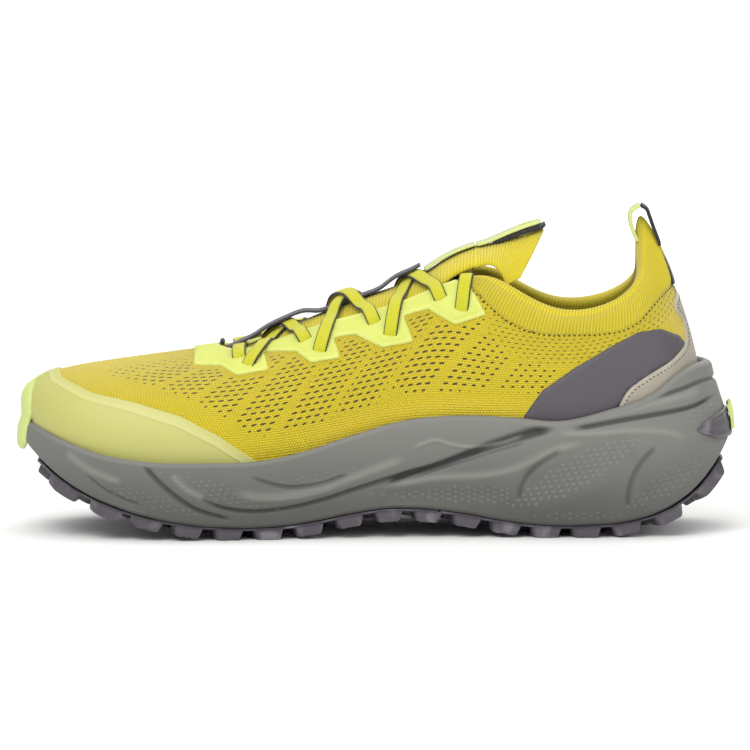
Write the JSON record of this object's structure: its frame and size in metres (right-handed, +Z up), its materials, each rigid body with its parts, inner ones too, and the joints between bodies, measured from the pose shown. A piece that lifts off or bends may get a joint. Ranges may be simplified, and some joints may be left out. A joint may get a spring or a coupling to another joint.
{
  "type": "running shoe",
  "caption": "Knit running shoe with a thick foam midsole, lugged rubber outsole, bonded toe cap, lace tabs, tongue pull tab and heel loop.",
  "frame": {"origin": "on the ground, midway between the toe and the heel and midway across the sole", "axes": "+X towards the toe, +Y towards the wearer's other foot (medial side, left), +Z up"},
  "size_m": [0.3, 0.1108, 0.1365],
  "materials": {
    "foam": "moulded foam, satin",
    "rubber": "moulded rubber",
    "neon_rubber": "moulded rubber, satin",
    "board": "felted",
    "insole_foam": "brushed knit over foam",
    "knit": "knitted",
    "collar_knit": "ribbed knit",
    "toe_film": "matt bonded film",
    "eyestay_film": "matt bonded film",
    "dark_film": "matt bonded film",
    "taupe_film": "matt bonded film",
    "dark_tape": "woven tape",
    "lime_tape": "woven tape",
    "pad_foam": "open foam",
    "lining": "brushed knit",
    "stiff_plastic": "moulded sheet",
    "lace": "woven",
    "aglet_plastic": "gloss"
  },
  "bodies": {
    "shoe": {"aglet_lateral": "aglet_plastic", "aglet_medial": "aglet_plastic", "collar_cuff": "collar_knit", "collar_padding": "pad_foam", "eyestay": "eyestay_film", "heel_badge": "neon_rubber", "heel_counter": "stiff_plastic", "heel_guard": "rubber", "heel_overlay": "taupe_film", "heel_panel_lateral": "dark_film", "heel_panel_medial": "dark_film", "heel_tape": "dark_tape", "insole": "insole_foam", "lace_bar": "lace", "lace_leg_1_over": "lace", "lace_leg_1_under": "lace", "lace_leg_2_over": "lace", "lace_leg_2_under": "lace", "lace_leg_3_over": "lace", "lace_leg_3_under": "lace", "lace_tail_lateral": "lace", "lace_tail_medial": "lace", "midsole": "foam", "outsole_forefoot": "rubber", "outsole_heel": "rubber", "pull_tab_base": "lime_tape", "strobel_board": "board", "throat_bartack": "dark_tape", "toe_bumper": "neon_rubber", "toe_cap": "toe_film", "toe_puff": "stiff_plastic", "tongue": "collar_knit", "tongue_webbing": "dark_tape", "upper_knit": "knit"},
    "tongue_top": {"tongue_top": "collar_knit"},
    "pull_tab": {"pull_tab_strip": "lime_tape", "pull_tab_lining": "dark_tape"},
    "heel_loop": {"heel_loop_front": "lime_tape", "heel_loop_back": "dark_tape"}
  },
  "joints": [
    {"name": "tongue_bend", "type": "hinge", "parent": "shoe", "child": "tongue_top", "pos_m": [-0.041, 0, 0.1172], "axis": [0, 1, 0], "range_deg": [-2, 20]},
    {"name": "pull_tab_lift", "type": "hinge", "parent": "tongue_top", "child": "pull_tab", "pos_m": [-0.0425, 0, 0.1192], "axis": [0, 1, 0], "range_deg": [0, 25]},
    {"name": "heel_loop_tilt", "type": "hinge", "parent": "shoe", "child": "heel_loop", "pos_m": [-0.1155, 0, 0.1192], "axis": [0, 1, 0], "range_deg": [-8, 8]}
  ]
}
